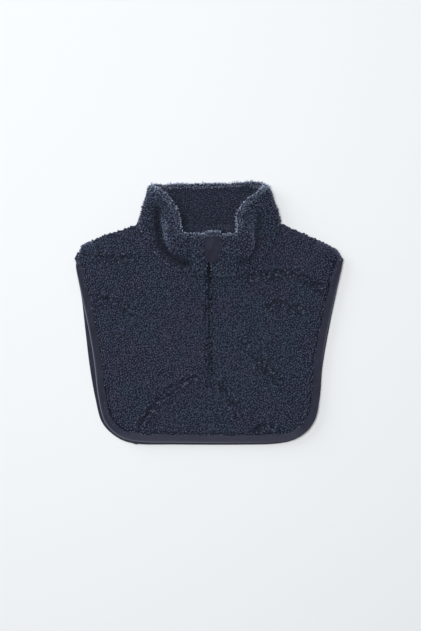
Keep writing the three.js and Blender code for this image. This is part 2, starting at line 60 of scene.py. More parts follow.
# The fleece: how coarse its body is, how far it stays under the outer face to make room for pile, how uneven
# it is and how often it is smoothed.
BODIES = {
    "front_panel": {"voxel": 2.4 * MM, "under": 2.2 * MM, "lumps": 0.6 * MM, "smoothing": 3},
    "back_panel": {"voxel": 2.9 * MM, "under": 1.4 * MM, "lumps": 0.3 * MM, "smoothing": 2},
    "collar": {"voxel": 2.1 * MM, "under": 2.0 * MM, "lumps": 0.5 * MM, "smoothing": 4},
}
SEWN_TO = {"front_panel": ["collar"], "back_panel": ["collar"], "collar": ["front_panel", "back_panel"]}
SEWN_FLAT = {"tape": 6 * MM, "seam": 5 * MM}  # how near to the tape and to a seam the fleece is pulled flat
LUMPS = {"wide": 26 * MM, "fine": 9 * MM, "fine_share": 0.12}  # how far apart the lumps are
JOINT_REACH = 5 * MM  # how far the collar and the lower panel reach for each other inside the neck

# The zip in the drawing, half of the band beside it where no pile grows, which the pile closes lower down, and
# how far that band goes on past the zip's lower and upper ends.
ZIP_PATH = [(0, 56), (0, -119)]
ZIP_BARE = {"y": (-110, -60, 0, 60), "half": (0.0, 0.4, 1.0, 1.9), "past": (1 * MM, 14 * MM)}

# Creases of the front, in millimetres of the part's drawing: the depth, the half width and the path of each.
CREASES = [
    (1.9, 3.2, [(58, 51), (76, 57), (94, 58), (116, 60), (134, 58), (156, 47), (173, 38)]),
    (1.6, 3.0, [(92, 9), (106, 14), (119, 12), (133, 8), (143, 0)]),
    (1.8, 3.0, [(52, -44), (66, -60), (80, -80), (97, -95), (112, -110)]),
    (1.9, 3.2, [(-26, -105), (-44, -111), (-60, -119), (-72, -132), (-84, -144), (-105, -175)]),
    (1.5, 2.8, [(20, -114), (30, -126), (39, -140), (45, -166)]),
    (0.9, 3.4, [(-187, 95), (-166, 86), (-148, 80), (-134, 81), (-120, 86)]),
    (1.3, 2.8, [(-173, 19), (-157, 19), (-142, 15), (-120, 0)]),
    (1.5, 2.8, [(72, -183), (84, -178), (94, -179), (104, -184), (114, -186)]),
]
CREASE_WOBBLE = {"by": 2.6, "over": 11}  # millimetres that a crease wanders from its path, and along how many
CREASE_DEPTH = 2.2  # times the table's depths
CREASE_RIDGE = {"height": 0.45, "away": 2.1}  # ridges beside a crease, as shares of its depth and half width
# Painted shade and light by the creases: how much darker pile is in a crease, how much brighter its slopes that
# face the window lamp are, and how much more uneven it is near it.
CREASE_SHADE = {"line": 0.6, "facing": 0.3, "uneven": 0.5}
# Painted shade: the dark line along a crease's middle, and the shorter dark strokes beside it.
CREASE_LINE = 2.0  # millimetres from a crease's middle over which it is dark
CREASE_BESIDE = {"away": 4.6, "half": 1.2, "broken": 9}  # shorter dark strokes on both sides of a crease
CREASE_REACH = 10  # millimetres from a crease over which the pile is rougher

# The valley round the collar's rolled front, where its outer wall is pressed in, in the drawing's millimetres:
# the depth, the half width, how much painted shade darkens the pile in it, and the path of each half.
VALLEYS = [
    (2.5, 8, 1.0, [(-79, 160), (-79.5, 140), (-78, 121), (-73.5, 106), (-63.5, 92.5), (-48.5, 81.5),
                   (-34, 76)]),
    (1.5, 5, 0.6, [(76, 151), (76, 133), (76, 111), (70, 95), (61, 83), (45, 76)]),
]
# The most that painted shade takes off the pile's brightness in the valley.
VALLEY_DARKEST = 0.85
VALLEY_RISES = (6 * MM, 14 * MM)  # the heights between which the valley comes to its full depth

# The collar's front seam on the upper panel, from the right round to the left, in the drawing's millimetres.
SEAM = [
    (109.5, 140.6), (101.5, 119), (93, 101), (80, 83), (61, 66), (31, 58.5), (2.6, 60),
    (-2.6, 60), (-30, 61.5), (-56, 70.5), (-76, 86.5), (-91, 103), (-100.5, 120), (-108, 140.6),
]
# The back seam inside the neck, where pile grows over the joint of the collar and the lower panel.
BACK_SEAM = [(-98, 139), (-62, 134), (0, 131), (62, 134.5), (99, 139)]

# Pile: the least distance between tufts, then a tuft's length, height and thickness, how far it turns from
# its neighbours' way, how far it stands up from the cloth, how bright it is and how much brighter or darker
# than its neighbours.
PILE_COLUMNS = ("spacing", "length", "height", "radius", "turn", "stand", "bright", "uneven")
PILE_ROWS = {
    "front": (2.7, 2.7, 1.7, 1.5, 1.3, 0.25, 1.17, 0.34),
    "back": (4.8, 3.6, 0.8, 2.3, 0.9, 0.0, 1.0, 0.2),
    "back_inside": (2.6, 2.6, 1.6, 1.45, 0.6, 0.2, 0.84, 0.35),
    "collar_outside": (2.75, 2.8, 2.4, 1.5, 1.2, 0.5, 1.19, 0.5),
    "collar_inside": (2.65, 2.6, 1.6, 1.5, 0.6, 0.2, 0.85, 0.35),
    # The rim's high brightness is a painted highlight on the collar's free edge.
    "rim": (1.7, 3.2, 4.0, 0.58, 1.3, 1.2, 2.3, 0.5),
    "seam": (2.7, 2.6, 1.5, 1.6, 0.8, 0.2, 0.95, 0.3),
    "back_seam": (2.3, 2.6, 1.3, 1.4, 0.5, 0.2, 0.9, 0.3),
    "zip": (2.6, 2.4, 1.4, 1.5, 0.8, 0.2, 0.9, 0.25),
    "tip": (2.6, 2.4, 1.3, 1.6, 0.8, 0.2, 1.0, 0.3),
}
PILE = {kind: dict(zip(PILE_COLUMNS, row)) for kind, row in PILE_ROWS.items()}
SATURATION = 9  # tries for each tuft's room, so that hardly a gap stays between tufts
TUFT_RINGS = 3
TUFT_SIDES = 6
TUFT_PROFILE = (0.62, 1.0, 0.62)
TUFT_VARIES = {"length": (0.6, 1.4), "height": (0.6, 1.3), "radius": (0.8, 1.15), "bend": (-0.3, 0.3),
               "stand": (0.5, 1.5)}
SWIRL = {"turn": 2.4, "over": 14 * MM, "combed": 0.25}  # how the tufts' way turns, and its share on combed pile
# What is added to the height, thickness and brightness of tufts on rough pile, beside what plain pile has.
ROUGHER = {"height": (0.85, 0.7), "radius": (0.97, 0.1), "bright": (1, 0.15)}
BRIGHTNESS = (0.15, 1.6)  # the least and the most of a tuft's own brightness
# Painted shade: each tuft darkens towards its foot, as if shaded by its neighbours.
TUFT_SHADE_RISE = (0.3, 0.72)  # the shares of a tuft's height where it is darkest and where it is fully light

# Clumps: tufts lean together, and narrow cracks part the clumps, deeper and darker beside a crease; the cracks'
# darkness is painted shade.
CLUMPS = {"size": 8.0, "squash": 1.45, "crack": 2.6, "plain": 0.04, "painted_shade": 0.8, "low": 0.5}

# Painted highlight: how much brighter thin pile is where it stands against the light: on steep cloth, on the
# collar's rim and along the shoulders' tips.
GLOW = {"steep_highlight": 1.7, "rim": 0.9, "rim_reach": 5, "tips": 0.6, "tip_reach": 4}

# The tape's outer edge on the front and on the back, in millimetres of the part's drawing, from the right tip
# round the hem to the left tip. At the tips it swells a little further out than the part's own edge.
EDGE = [
    ((207.5, 76.5), (207.5, 76.5)), ((205.9, 66), (206.2, 66)),
    ((196.4, 26), (197.7, 26)), ((185.0, -26), (187.4, -24)),
    ((175.5, -84), (177.0, -84)), ((171.9, -132), (172.9, -132)),
    ((165, -167), (164.5, -168)), ((145, -191), (142.5, -193.5)),
    ((112, -202), (108, -204.5)), ((45, -203.8), (40, -206.5)),
    ((-50, -203), (-54, -206.2)), ((-104, -202), (-108, -205.5)),
    ((-137.4, -194.4), (-140, -197)), ((-162, -170.8), (-166, -173)),
    ((-172.6, -130.5), (-177, -135)), ((-178.5, -80), (-186, -84)),
    ((-187, -28), (-192.5, -30)), ((-197.5, 22), (-198.5, 22)),
    ((-206.4, 66), (-206.4, 66)), ((-206.4, 77.5), (-206.4, 77.5)),
]
TIP_FOLD = {"right": (-0.65, 0.76), "left": (0.42, 0.908)}  # the way that the tape points at each tip
TIP_ROUNDED = {"right": 1.8, "left": 3.2}  # how far the tape's turned end draws back from its corner
# The pile at a shoulder's tip: rows of tufts along its rounded corner, each with its height, how far out it
# lies and how far it leans up, and a band over which two layers of tufts close the corner from above.
TIP_CORNER = {
    "step": 1.9,
    "rows": [(3.6, -0.8, 0.0), (6.2, 0.0, 0.4), (8.8, -1.2, 1.2), (7.5, -3.0, 3.0),
             (4.6, -4.4, 3.0), (3.0, -2.6, 1.5)],
    "wobble": 0.4,
    "paths": [
        [(-204.2, 77), (-203.9, 83), (-202.2, 89.5), (-199.8, 96.5), (-196.3, 103), (-188, 106.6),
         (-179, 109.6)],
        [(169, 110), (178, 105.8), (187.5, 101.2), (196, 97), (200.4, 92.5), (203.8, 87), (205.0, 82),
         (204.6, 78)],
    ],
    "band": (-13.5, 0.5),
    "under": 2.4,
}
TIP_REACH = 46  # millimetres of edge over which the tape turns towards the fold
TAPE_LAP = {"at": (-114.5, -206), "half_width": 3.0, "out": 1.7}  # where the lower tape's ends lap
TAPE = {"width": 12.5, "half": 2.2, "cloth": 0.9, "front_z": 8.3, "back_z": 2.4, "step": 3.0, "fold": 1.3}
LIP_COVERED = 0.9  # millimetres of the tape that the pile beside it covers
BACK_CLEAR = 1.3 * MM  # how far the back's pile keeps from the tape

# Millimetres by which the tape's lips rise and wander, each with the distance over which they do, and how far
# from the fold that begins and is full.
TAPE_PUCKER = {"by": 0.16, "over": 13}
TAPE_WANDER = {"by": 0.35, "over": 34}
LIP = (4, 12)

# Where pile lies over the tape near the tips: from this y on, between this x and a line whose x follows y.
TIP_LEFT = {"from_y": 38, "from_x": -170, "y": (38, 60, 70, 76), "x": (-192, -197.5, -202, -206)}
TIP_RIGHT = {"from_y": 44, "from_x": 170, "y": (44, 60, 76, 82), "x": (189, 195, 200, 207)}
# Where pile lies over the upper tape at the hem's left corner, and how much of the tape stays free there.
PILE_ON_TAPE = {"at": (-153, -172), "reach": 34, "free": 7.5}

# The collar's rim, in millimetres of the part's drawing, from the right of the zip round to its left.
RIM = [
    (2.6, 119, 46), (27, 120.5, 46.5), (42, 121.5, 46), (46, 132.5, 45.5), (43, 148.5, 43), (59.5, 169.5, 35),
    (79.5, 188, 24), (88, 194, 12), (81.5, 197.5, 5), (55, 200, 5), (0, 197.3, 5), (-53, 196.5, 5),
    (-84, 194.5, 5), (-89, 192.5, 12), (-77.5, 187.5, 24), (-59, 171, 35), (-48.5, 152, 43), (-46, 136, 45.5),
    (-41, 122.5, 46), (-27, 120.5, 46.5), (-2.6, 119, 46),
]

# The lower panel's stretch inside the neck, and where the collar's front wall and its side folds begin.
NECK = {"y_over": 48 * MM, "x_within": 92 * MM}
COLLAR_PARTS = {"front_over": 10.5 * MM, "fold_over": 60 * MM}
RIM_WIDE = 4.8  # millimetres of cloth on each side of the rim that thin pile covers
# Painted highlight: how bright the rim's pile is from the rolled front (low y) over the sides to the back.
RIM_LIGHT = {"y": (122, 134, 180, 192), "light": (1.0, 0.75, 0.75, 1.35)}
FLAP_TOP = 119.5  # the flap's fold over the rim is pressed flat above this y of the drawing
FLAP_TOP_BAND = (3.5, 4)  # millimetres below and above it over which the rim's pile lies on the flap
FLAP_CLEAR = 1.4 * MM  # how far the collar's pile keeps from the flap
FLAP_BODY = {"voxel": 0.75 * MM, "smoothing": 5, "pressed": 0.6}
FLAP_FOLD = {"path": [(8.5, 112), (-0.5, 90)], "height": 0.7, "half": 2.6}
FLAP_PUCKER = {"height": 0.2, "over": 12}
FLAP_GROOVE = {"inset": 2.2, "half": 0.9, "depth": 0.9}  # the turned edge on the flap's right side

# The section of the zip's tape, and its coil's hooks: how far each point of a hook reaches sideways and rises,
# and how thick it is there, in millimetres.
ZIP_TAPE = [(-2.3, -0.6), (-1.15, -0.35), (0, -0.5), (1.15, -0.35), (2.3, -0.6), (2.3, -2.2), (-2.3, -2.2)]
ZIP_HOOK = {
    "reach": (-2.0, -0.9, 0.35, 0.8),
    "rise": (-0.5, 0.25, 0.3, -0.3),
    "radius": (0.3, 0.42, 0.45, 0.35),
    "sides": 4,
}
ZIP_PITCH = 0.8 * MM

# Where the collar's cloth swells a little: the place, how far it moves and over what reach, in millimetres.
COLLAR_PUSHES = [
    ((-97, 189, 8), (-2.6, 2.4, 0), 8), ((-81, 196, 8), (0, 3.4, 0), 8), ((-22, 198, 6), (0, 1.4, 0), 7),
    ((53, 200, 6), (0, -1.0, 0), 12), ((76, 198, 8), (0.5, 1.8, 0), 9), ((96, 190, 10), (1.0, 1.0, 0), 9),
    ((106, 158, 12), (2.2, 1.0, 0), 9),
]
# How the rolled front's rim hangs a little lower, over this many points on each side of the zip.
FRONT_RIM = {"y_below": 140, "points": 4, "drop": 2.6, "reach": 9}

COLOURS = {
    # Painted shade, low on the tufts and between them.
    "pile_painted_shade": (0.0045, 0.0065, 0.0145),
    "pile_tip": (0.048, 0.056, 0.095),
    "pile_cool": (0.038, 0.060, 0.095),
    "pile_warm": (0.056, 0.052, 0.098),
    # The pale colour that the brightest-toned pile turns to: a painted highlight.
    "pile_painted_highlight": (0.062, 0.071, 0.094),
    "tape": (0.0220, 0.0238, 0.0390),
    # Painted highlight on the front tape's outer fold.
    "tape_fold_highlight": (0.150, 0.168, 0.215),
    "flap": (0.0220, 0.0238, 0.0390),
    "chain": (0.0080, 0.0105, 0.0190),
    "floor": (0.745, 0.765, 0.785),
}
# Painted highlight: how bright the front tape's outer fold is along the edge, as shares of the way from the
# right tip to the left.
FOLD_SHINE = {
    "share": (0, 0.045, 0.16, 0.2, 0.38, 0.45, 0.55, 0.72, 0.78, 0.94, 1),
    "shine": (0.1, 0.9, 0.8, 0.15, 0.25, 0.7, 1, 0.9, 1.1, 1.05, 0.2),
}

SURROUND = {"colour": (0.93, 0.965, 1.0, 1.0), "strength": 0.147}
LAMPS = {
    "overhead": {"place": (-0.4, 0.5, 3.4), "size": 1.9, "power": 118.0, "colour": (1.0, 0.995, 0.985)},
    "window": {"place": (-4.6, 3.0, 2.1), "size": 4.4, "power": 175.0, "colour": (0.98, 0.99, 1.0)},
}
FLOOR_REACH = 6.0  # metres from the middle to each side of the floor

# A faint painted highlight on the tape along the hem: from this y down, fading in over this many millimetres,
# to this share of the fold's highlight colour.
HEM_HIGHLIGHT = {"y": -185, "fade": 12, "share": 0.10}  # the tape along the hem, where it turns up a little

# The photo's frame and where the object's middle lies in it.
PHOTO = {"width": 421, "height": 631, "middle_x": 209.0, "middle_y": 313.2, "mm_per_pixel": 1.56}
CAMERA_HEIGHT = 2.6
SENSOR_WIDTH = 36.0


def drawn(points):
    """Points of the part's drawing, flat or in space and in millimetres, as points of the frame, in metres."""
    points = np.asarray(points, float) * MM
    points[..., :2] += DRAWN_TO_FRAME
    return points


def on_drawing(points):
    """Points of the frame as places of the part's drawing, in millimetres."""
    return (points[:, :2] - DRAWN_TO_FRAME) / MM


def fade(away, reach=1):
    """One where the distance is nothing, falling softly to almost nothing at twice the reach."""
    return np.exp(-((away / reach) ** 2))


def away_from(points, path):
    """The distance from each point to a path of straight spans."""
    nearest = np.full(len(points), np.inf)
    for a, b in zip(path[:-1], path[1:]):
        along = np.clip(((points - a) @ (b - a)) / ((b - a) @ (b - a)), 0, 1)
        nearest = np.minimum(nearest, np.linalg.norm(points - a - along[:, None] * (b - a), axis=1))
    return nearest


def unit(vectors):
    return vectors / np.maximum(np.linalg.norm(vectors, axis=-1, keepdims=True), 1e-12)


def waves(points, wavelength, seed, count=9):
    """A smooth random height at each point, about -1 to 1, whose bumps are about a wavelength apart."""
    rng = np.random.default_rng(seed)
    total = np.zeros(len(points))
    for _ in range(count):
        direction = unit(rng.normal(size=points.shape[1]))
        turns = points @ direction * (2 * math.pi / (wavelength * rng.uniform(0.7, 1.5)))
        total += np.sin(turns + rng.uniform(0, 2 * math.pi))
    return total / math.sqrt(count / 2)


def placed(name, data):
    """A new object in the scene."""
    thing = bpy.data.objects.new(name, data)
    bpy.context.scene.collection.objects.link(thing)
    return thing


def piece_from(name, mesh, material, node=None, smooth=True):
    """A mesh as a piece that rides on the part's one body and stands for a node, where one is named."""
    mesh.polygons.foreach_set("use_smooth", [smooth] * len(mesh.polygons))
    mesh.materials.append(material)
    piece = placed(name, mesh)
    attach(piece, "root")
    if node:
        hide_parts(node)
    return piece


def new_mesh(name, points, faces):
    mesh = bpy.data.meshes.new(name)
    mesh.from_pydata(points.tolist(), [], faces.tolist())
    return mesh


def paint(piece, **attributes):
    """Values at the piece's vertices, which its material reads."""
    for attribute, values in attributes.items():
        piece.data.attributes.new(attribute, "FLOAT", "POINT").data.foreach_set("value", values)


def points_and_ways(mesh):
    """A mesh's vertices and their normals."""
    values = np.empty((2, len(mesh.vertices) * 3))
    mesh.vertices.foreach_get("co", values[0])
    mesh.vertex_normals.foreach_get("vector", values[1])
    return values.reshape(2, -1, 3)


def move_to(mesh, points):
    mesh.vertices.foreach_set("co", points.ravel())
    mesh.update()


def walls(rings, sides):
    """The faces between neighbouring rings of a closed section."""
    first = (np.arange(rings - 1) * sides)[:, None]
    k, k_next = np.arange(sides), (np.arange(sides) + 1) % sides
    return np.stack([first + k, first + k_next, first + sides + k_next, first + sides + k], -1).reshape(-1, 4)


def travelled_along(places):
    """How far along the path through all places each one lies."""
    return np.concatenate([[0], np.cumsum(np.linalg.norm(np.diff(places, axis=0), axis=1))])


def left_of(line):
    """The way to the left of a flat path at each of its places."""
    ahead = unit(np.gradient(line, axis=0))
    return np.stack([-ahead[:, 1], ahead[:, 0]], 1)


def smooth_path(points, step):
    """A smooth path through points, with places about a step apart."""
    points = np.asarray(points, float)
    padded = np.vstack([2 * points[0] - points[1], points, 2 * points[-1] - points[-2]])
    pieces = []
    for a, b, c, d in zip(padded, padded[1:], padded[2:], padded[3:]):
        t = np.linspace(0, 1, 24, endpoint=False)[:, None]
        pieces.append(0.5 * (2 * b + (c - a) * t + (2 * a - 5 * b + 4 * c - d) * t**2
                             + (3 * b - a - 3 * c + d) * t**3))
    dense = np.vstack([*pieces, points[-1:]])
    travelled = travelled_along(dense)
    places = np.linspace(0, travelled[-1], int(travelled[-1] / step) + 1)
    return np.stack([np.interp(places, travelled, dense[:, k]) for k in range(dense.shape[1])], 1), places


def remeshed(node, voxel, smoothing):
    """A new even mesh over a node's solid."""
    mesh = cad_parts[node].data.copy()
    mesh.materials.clear()
    builder = bmesh.new()
    builder.from_mesh(mesh)
    bmesh.ops.remove_doubles(builder, verts=builder.verts, dist=0.01 * MM)
    builder.to_mesh(mesh)
    builder.free()
    holder = placed("holder", mesh)
    remesh = holder.modifiers.new("even", "REMESH")
    remesh.mode = "VOXEL"
    remesh.voxel_size = voxel
    smooth = holder.modifiers.new("soft", "SMOOTH")
    smooth.factor = 0.5
    smooth.iterations = smoothing
    evaluated = holder.evaluated_get(bpy.context.evaluated_depsgraph_get())
    made = bpy.data.meshes.new_from_object(evaluated)
    bpy.data.objects.remove(holder)
    return made


def node_tree(node):
    """A search tree over a node's solid."""
    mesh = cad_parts[node].data
    mesh.calc_loop_triangles()
    return BVHTree.FromPolygons([v.co for v in mesh.vertices], [t.vertices for t in mesh.loop_triangles])


def nearness(tree, points, reach):
    """The distance from each point to a tree's surface, or the reach where it is further."""
    found = (tree.find_nearest(Vector(p), reach)[3] for p in points)
    return np.array([reach if d is None else d for d in found])


def clear_of(tree, points, reach):
    return nearness(tree, points, reach) >= reach


def top_at(tree, x, y):
    """The highest point of a tree's surface over a place, or None."""
    return tree.ray_cast(Vector((x, y, ABOVE_ALL)), Vector((0, 0, -1)))[0]


def search_among(places):
    """A search for the nearest of the places."""
    search = KDTree(len(places))
    for index, place in enumerate(places):
        search.insert(place, index)
    search.balance()
    return search


def crease_field(points):
    """How far each point of the front sinks in the creases, how near it is to one and how much painted shade it
    gets there.
    """
    flat = points[:, :2]
    wander = np.stack([waves(flat, CREASE_WOBBLE["over"] * MM, seed) for seed in (31, 32)], 1)
    wander = wander * CREASE_WOBBLE["by"] * MM / 2
    strokes = np.clip(0.3 + 1.5 * waves(flat, CREASE_BESIDE["broken"] * MM, 33), 0, 1)
    main = np.clip(0.6 + waves(flat, CREASE_BESIDE["broken"] * MM, 34), 0, 1)
    depth, near, line = np.zeros((3, len(points)))
    for sunk, half_width, path in CREASES:
        away = away_from(flat + wander, drawn(path))
        share = away / (half_width * MM)
        ridge = CREASE_RIDGE["height"] * fade(share - CREASE_RIDGE["away"])
        depth += CREASE_DEPTH * sunk * MM * (fade(share) - ridge)
        near = np.maximum(near, fade(away, CREASE_REACH * MM))
        line = np.maximum(line, (0.45 + 0.55 * main) * fade(away, CREASE_LINE * MM))
        line = np.maximum(line, strokes * fade(away / MM - CREASE_BESIDE["away"], CREASE_BESIDE["half"]))
    return depth, near, line


def valley_field(points):
    """How far each point of the collar sinks in the valley round its rolled front, and how much painted shade
    it gets there.
    """
    depth, painted_shade = np.zeros((2, len(points)))
    for sunk, half_width, shade, path in VALLEYS:
        inside = fade(away_from(points[:, :2], drawn(path)), half_width * MM)
        depth = np.maximum(depth, sunk * MM * inside)
        painted_shade = np.maximum(painted_shade, shade * inside)
    low, high = VALLEY_RISES
    return depth * np.clip((points[:, 2] - low) / (high - low), 0, 1), np.minimum(painted_shade, VALLEY_DARKEST)


def painted_tip_highlight(points):
    """A painted highlight: how much brighter the pile is along the shoulders' tips."""
    away = np.minimum(*(away_from(points[:, :2], drawn(path)) for path in TIP_CORNER["paths"]))
    return 1 + GLOW["tips"] * fade(away, GLOW["tip_reach"] * MM)


def drawn_onto(points, tree, reach):
    """The points near a tree's surface drawn onto it, so that no light comes through a joint."""
    for index, point in enumerate(points):
        place, _, _, away = tree.find_nearest(Vector(point), reach)
        if place is not None:
            points[index] += (np.array(place) - point) * min(1, 2 * (1 - away / reach))
    return points


def fleece_body(node, name):
    """A fleece piece's soft body: the solid, drawn in under its outer faces and made uneven."""
    sizes = BODIES[node]
    mesh = remeshed(node, sizes["voxel"], sizes["smoothing"])
    points, normals = points_and_ways(mesh)
    clear = nearness(tape_tree, points, SEWN_FLAT["tape"]) / SEWN_FLAT["tape"]
    for other in SEWN_TO[node]:
        clear *= nearness(trees[other], points, SEWN_FLAT["seam"]) / SEWN_FLAT["seam"]
    lumps = waves(points, LUMPS["wide"], 11) + LUMPS["fine_share"] * waves(points, LUMPS["fine"], 12)
    lift = sizes["lumps"] * lumps - sizes["under"]
    if node == "front_panel":
        lift -= crease_field(points)[0] * (normals[:, 2] > 0)
    points += normals * (lift * clear)[:, None]
    if node == "collar":
        points[:, 2] -= valley_field(points)[0] * clear
        for at, by, reach in COLLAR_PUSHES:
            away = np.linalg.norm(points - drawn([at]), axis=1)
            points += np.array(by) * MM * fade(away, reach * MM)[:, None]
        rim = drawn([point for point in RIM if point[1] < FRONT_RIM["y_below"]])
        halves = rim[: FRONT_RIM["points"]], rim[FRONT_RIM["points"]:]
        near_rim = np.minimum(*(away_from(points, half) for half in halves))
        points[:, 1] -= FRONT_RIM["drop"] * MM * fade(near_rim, FRONT_RIM["reach"] * MM)
    if node != "front_panel":
        points = drawn_onto(points, trees["back_panel" if node == "collar" else "collar"], JOINT_REACH)
    points[:, 2] = np.maximum(points[:, 2], FLOOR_CLEAR)
    move_to(mesh, points)
    body = piece_from(name, mesh, fleece_material, node)
    # Painted shade: the body between the tufts takes nearly the tufts' darkest colour.
    paint(body, tip=[0.15] * len(points), tone=[0.9] * len(points))
    return body


def spaced(places, spacing):
    """Which places stay, when none may lie nearer than the spacing to one that stayed before it."""
    cells, kept = {}, []
    around = [(i, j, k) for i in (-1, 0, 1) for j in (-1, 0, 1) for k in (-1, 0, 1)]
    in_cells = np.floor(places / spacing).astype(int).tolist()
    for index, ((a, b, c), (x, y, z)) in enumerate(zip(places.tolist(), in_cells)):
        near = (p for i, j, k in around for p in cells.get((x + i, y + j, z + k), ()))
        if all((p[0] - a) ** 2 + (p[1] - b) ** 2 + (p[2] - c) ** 2 >= spacing**2 for p in near):
            cells.setdefault((x, y, z), []).append((a, b, c))
            kept.append(index)
    return kept


def grown(body, kind, keep, seed):
    """Places for one kind of tufts, spread evenly over the kept part of a body, with their ways up."""
    rng = np.random.default_rng(seed)
    spacing = PILE[kind]["spacing"] * MM
    mesh = body.data
    mesh.calc_loop_triangles()
    corners = np.empty(len(mesh.loop_triangles) * 3, np.int32)
    mesh.loop_triangles.foreach_get("vertices", corners)
    corners = corners.reshape(-1, 3)
    points, normals = points_and_ways(mesh)
    corners = corners[keep(points[corners].mean(1), unit(normals[corners].mean(1)))]
    a, b, c = (points[corners[:, k]] for k in range(3))
    areas = np.linalg.norm(np.cross(b - a, c - a), axis=1) / 2
    tries = int(SATURATION * areas.sum() / spacing**2)
    chosen = rng.choice(len(corners), size=tries, p=areas / areas.sum())
    u, v = rng.random((2, tries))
    over = u + v > 1
    u[over], v[over] = 1 - u[over], 1 - v[over]
    shares = np.stack([1 - u - v, u, v], 1)[:, :, None]
    places = (points[corners[chosen]] * shares).sum(1)
    ways = unit((normals[corners[chosen]] * shares).sum(1))
    kept = spaced(places, spacing)
    return places[kept], ways[kept]


def tubes(lines, radii, ups, sides):
    """Closed little tubes along many short lines at once, as points and faces.

    The lines and their ways up are arrays of tubes, rings and 3, and the radii one of tubes and rings.
    """
    count, rings, _ = lines.shape
    along = unit(np.gradient(lines, axis=1))
    across = unit(np.cross(along, ups))
    upward = np.cross(across, along)
    turns = (np.arange(sides) + 0.5) * 2 * math.pi / sides
    ring = across[:, :, None] * np.cos(turns)[:, None] + upward[:, :, None] * np.sin(turns)[:, None]
    points = (lines[:, :, None] + ring * radii[:, :, None, None]).reshape(-1, 3)
    first = (np.arange(count) * rings * sides)[:, None, None]
    cap = np.array([[0, k, k + 1, k + 2] for k in range(1, sides - 1, 2)])
    faces = np.concatenate([walls(rings, sides), cap[:, ::-1], cap + (rings - 1) * sides])
    return points, (first + faces).reshape(-1, 4)


def clumped(places, seed):
    """The middle of each place's clump, and how near it lies to the crack beside the clump, from 0 to 1."""
    rng = np.random.default_rng(seed)
    squashed = places / (np.array([CLUMPS["squash"], 1, 1]) * CLUMPS["size"]) / MM
    clumps = int(len(places) * (PILE["front"]["spacing"] / CLUMPS["size"]) ** 2)
    middles = rng.permutation(len(places))[: max(2, clumps)]
    search = search_among(squashed[middles])
    found = [search.find_n(place, 2) for place in squashed]
    nearest = middles[[pair[0][1] for pair in found]]
    gap = np.array([pair[1][2] - pair[0][2] for pair in found]) * CLUMPS["size"]
    return places[nearest], np.clip(1 - gap / CLUMPS["crack"], 0, 1)


def beside_neighbours(places, seed):
    """A random value at each place, about -1 to 1, that differs from its nearest neighbours' values."""
    values = np.random.default_rng(seed).uniform(-1, 1, len(places))
    search = search_among(places)
    nearest = np.array([[found[1] for found in search.find_n(place, 6)] for place in places])
    return values - values[nearest[:, 1:]].mean(axis=1)


def pile(name, scattered, kind, seed, heading_way=None, rough=None, light=1.0):
    """Curled tufts on a fleece body: small arched nubs in clumps, a little aligned with their neighbours."""
    rng = np.random.default_rng(seed)
    sizes = PILE[kind]
    places, ways = scattered
    count = len(places)
    rough = np.zeros(count) if rough is None else rough
    middles, crack = clumped(places, seed + 2)
    crack = crack * (CLUMPS["plain"] + (1 - CLUMPS["plain"]) * rough)
    places = places + (middles - places) * (0.1 * crack)[:, None]
    helper = np.where(np.abs(ways[:, :1]) < 0.8, [[1.0, 0, 0]], [[0, 1.0, 0]])
    east = unit(np.cross(helper, ways))
    north = np.cross(ways, east)
    swirl = SWIRL["turn"] * waves(places, SWIRL["over"], seed + 1)
    if heading_way is not None:
        swirl = swirl * SWIRL["combed"] + np.arctan2(north @ heading_way, east @ heading_way)
    angle = swirl + rng.normal(0, sizes["turn"], count)
    heading = east * np.cos(angle)[:, None] + north * np.sin(angle)[:, None]
    beside = np.cross(ways, heading)
    varied = {size: rng.uniform(*limits, count) for size, limits in TUFT_VARIES.items()}
    rougher = {size: plain + added * rough for size, (plain, added) in ROUGHER.items()}
    length = sizes["length"] * MM * varied["length"]
    height = sizes["height"] * MM * varied["height"] * rougher["height"] * (1 - CLUMPS["low"] * crack)
    radius = sizes["radius"] * MM * varied["radius"] * rougher["radius"]
    bend = varied["bend"] * length
    stand = np.clip(sizes["stand"] * varied["stand"], 0, 1.2)[:, None]
    share = np.linspace(0, 1, TUFT_RINGS)
    arch = np.sin(math.pi * (0.08 + 0.84 * share))
    forward = (share - 0.5)[None] * length[:, None] * (1 - 0.45 * stand)
    sideways = bend[:, None] * (np.sin(math.pi * share) - 0.6)
    upward = height[:, None] * (arch - 0.25) * (1 - 0.5 * stand) + stand * height[:, None] * 1.1 * share
    lines = places[:, None]
    for way, by in ((heading, forward), (beside, sideways), (ways, upward)):
        lines = lines + way[:, None] * by[:, :, None]
    radii = radius[:, None] * np.array(TUFT_PROFILE)
    points, faces = tubes(lines, radii, np.broadcast_to(ways[:, None], lines.shape), TUFT_SIDES)
    points[:, 2] = np.maximum(points[:, 2], FLOOR_CLEAR)
    piece = piece_from(name, new_mesh(name, points, faces), fleece_material)
    # Painted shade: each tuft is dark low down, as if shaded by its neighbours, and fully lit near its top.
    risen = np.einsum("tvk,tk->tv", points.reshape(count, -1, 3) - places[:, None], ways)
    top = risen.max(axis=1, keepdims=True)
    tip = np.clip((risen / top - TUFT_SHADE_RISE[0]) / (TUFT_SHADE_RISE[1] - TUFT_SHADE_RISE[0]), 0, 1).ravel()
    # Painted highlight on tufts on steep cloth; the light given is painted light and shade too.
    steep_highlight = 1 + GLOW["steep_highlight"] * np.clip(1 - ways[:, 2], 0, 1) ** 2
    uneven = sizes["uneven"] * (1 + CREASE_SHADE["uneven"] * rough) * beside_neighbours(places, seed + 3)
    shade = sizes["bright"] * light * steep_highlight * np.clip(1 + uneven, *BRIGHTNESS)
    # Painted shade in the cracks between clumps.
    shade *= (1 - CLUMPS["painted_shade"] * crack) * rougher["bright"]
    paint(piece, tip=tip, tone=np.repeat(shade, TUFT_RINGS * TUFT_SIDES))
    return piece


